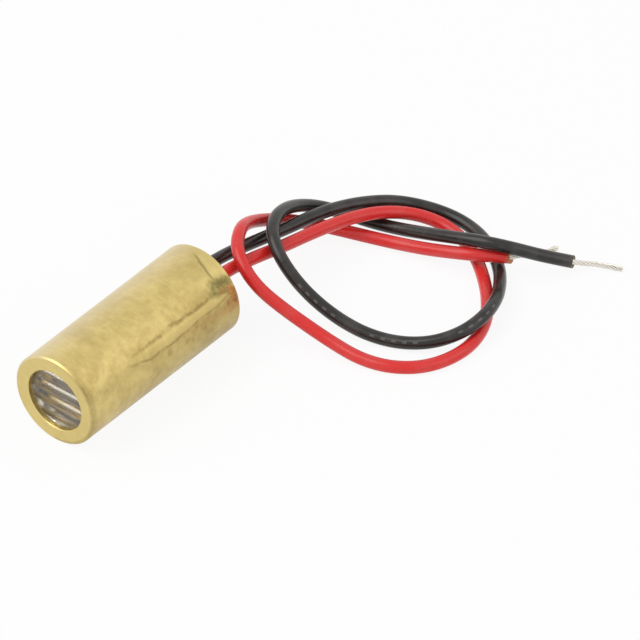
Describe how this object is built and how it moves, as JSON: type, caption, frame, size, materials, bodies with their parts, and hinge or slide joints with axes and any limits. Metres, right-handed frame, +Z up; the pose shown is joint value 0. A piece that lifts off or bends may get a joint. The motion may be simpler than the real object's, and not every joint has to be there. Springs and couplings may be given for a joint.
{
  "type": "laser diode module",
  "caption": "Turned brass laser diode module with a grooved line lens in its aperture, a potted rear end and loose red and black leads.",
  "frame": {"origin": "the middle of the barrel's line of contact with the surface that it lies on", "axes": "+Z up, +Y along the barrel's axis from the aperture to the rear end, +X to the right when seen from the front"},
  "size_m": [0.0288, 0.0502, 0.009],
  "materials": {
    "tarnished_brass": "turned, handled and unevenly tarnished",
    "inner_brass": "turned, clean",
    "clear_lens": "clear moulded optical plastic",
    "optical_glass": "polished",
    "seal_glass": "fused glass",
    "pale_plastic": "turned, uncoloured",
    "black_plastic": "matt moulded",
    "spring_steel": "drawn wire",
    "gold_plate": "gold flash on steel",
    "nickel_plate": "satin nickel on steel",
    "pale_ceramic": "ground",
    "dark_ceramic": "glazed film on a ceramic chip",
    "tan_ceramic": "fired",
    "semiconductor": "polished crystal",
    "board_laminate": "solder mask on glass fibre laminate",
    "tin": "bright solder",
    "tinned_copper": "twisted tinned strands",
    "potting_resin": "cast epoxy",
    "red_insulation": "extruded soft PVC",
    "black_insulation": "extruded soft PVC"
  },
  "bodies": {
    "root": {"barrel": "tarnished_brass", "line_lens": "clear_lens", "lens_spacer": "pale_plastic", "collimator_holder": "inner_brass", "collimator_lens": "optical_glass", "focus_spring": "spring_steel", "diode_mount": "inner_brass", "diode_header": "gold_plate", "diode_cap": "nickel_plate", "diode_window": "optical_glass", "chip_submount": "pale_ceramic", "laser_chip": "semiconductor", "monitor_photodiode": "semiconductor", "diode_pins": "gold_plate", "pin_seals": "seal_glass", "driver_board": "board_laminate", "driver_transistor": "black_plastic", "transistor_legs": "tin", "chip_resistors": "dark_ceramic", "chip_capacitors": "tan_ceramic", "diode_solder": "tin", "lead_solder": "tin", "rear_potting": "potting_resin", "red_lead": "red_insulation", "black_lead": "black_insulation", "red_strands": "tinned_copper", "black_strands": "tinned_copper", "red_lead_core": "tinned_copper", "black_lead_core": "tinned_copper"}
  },
  "joints": []
}
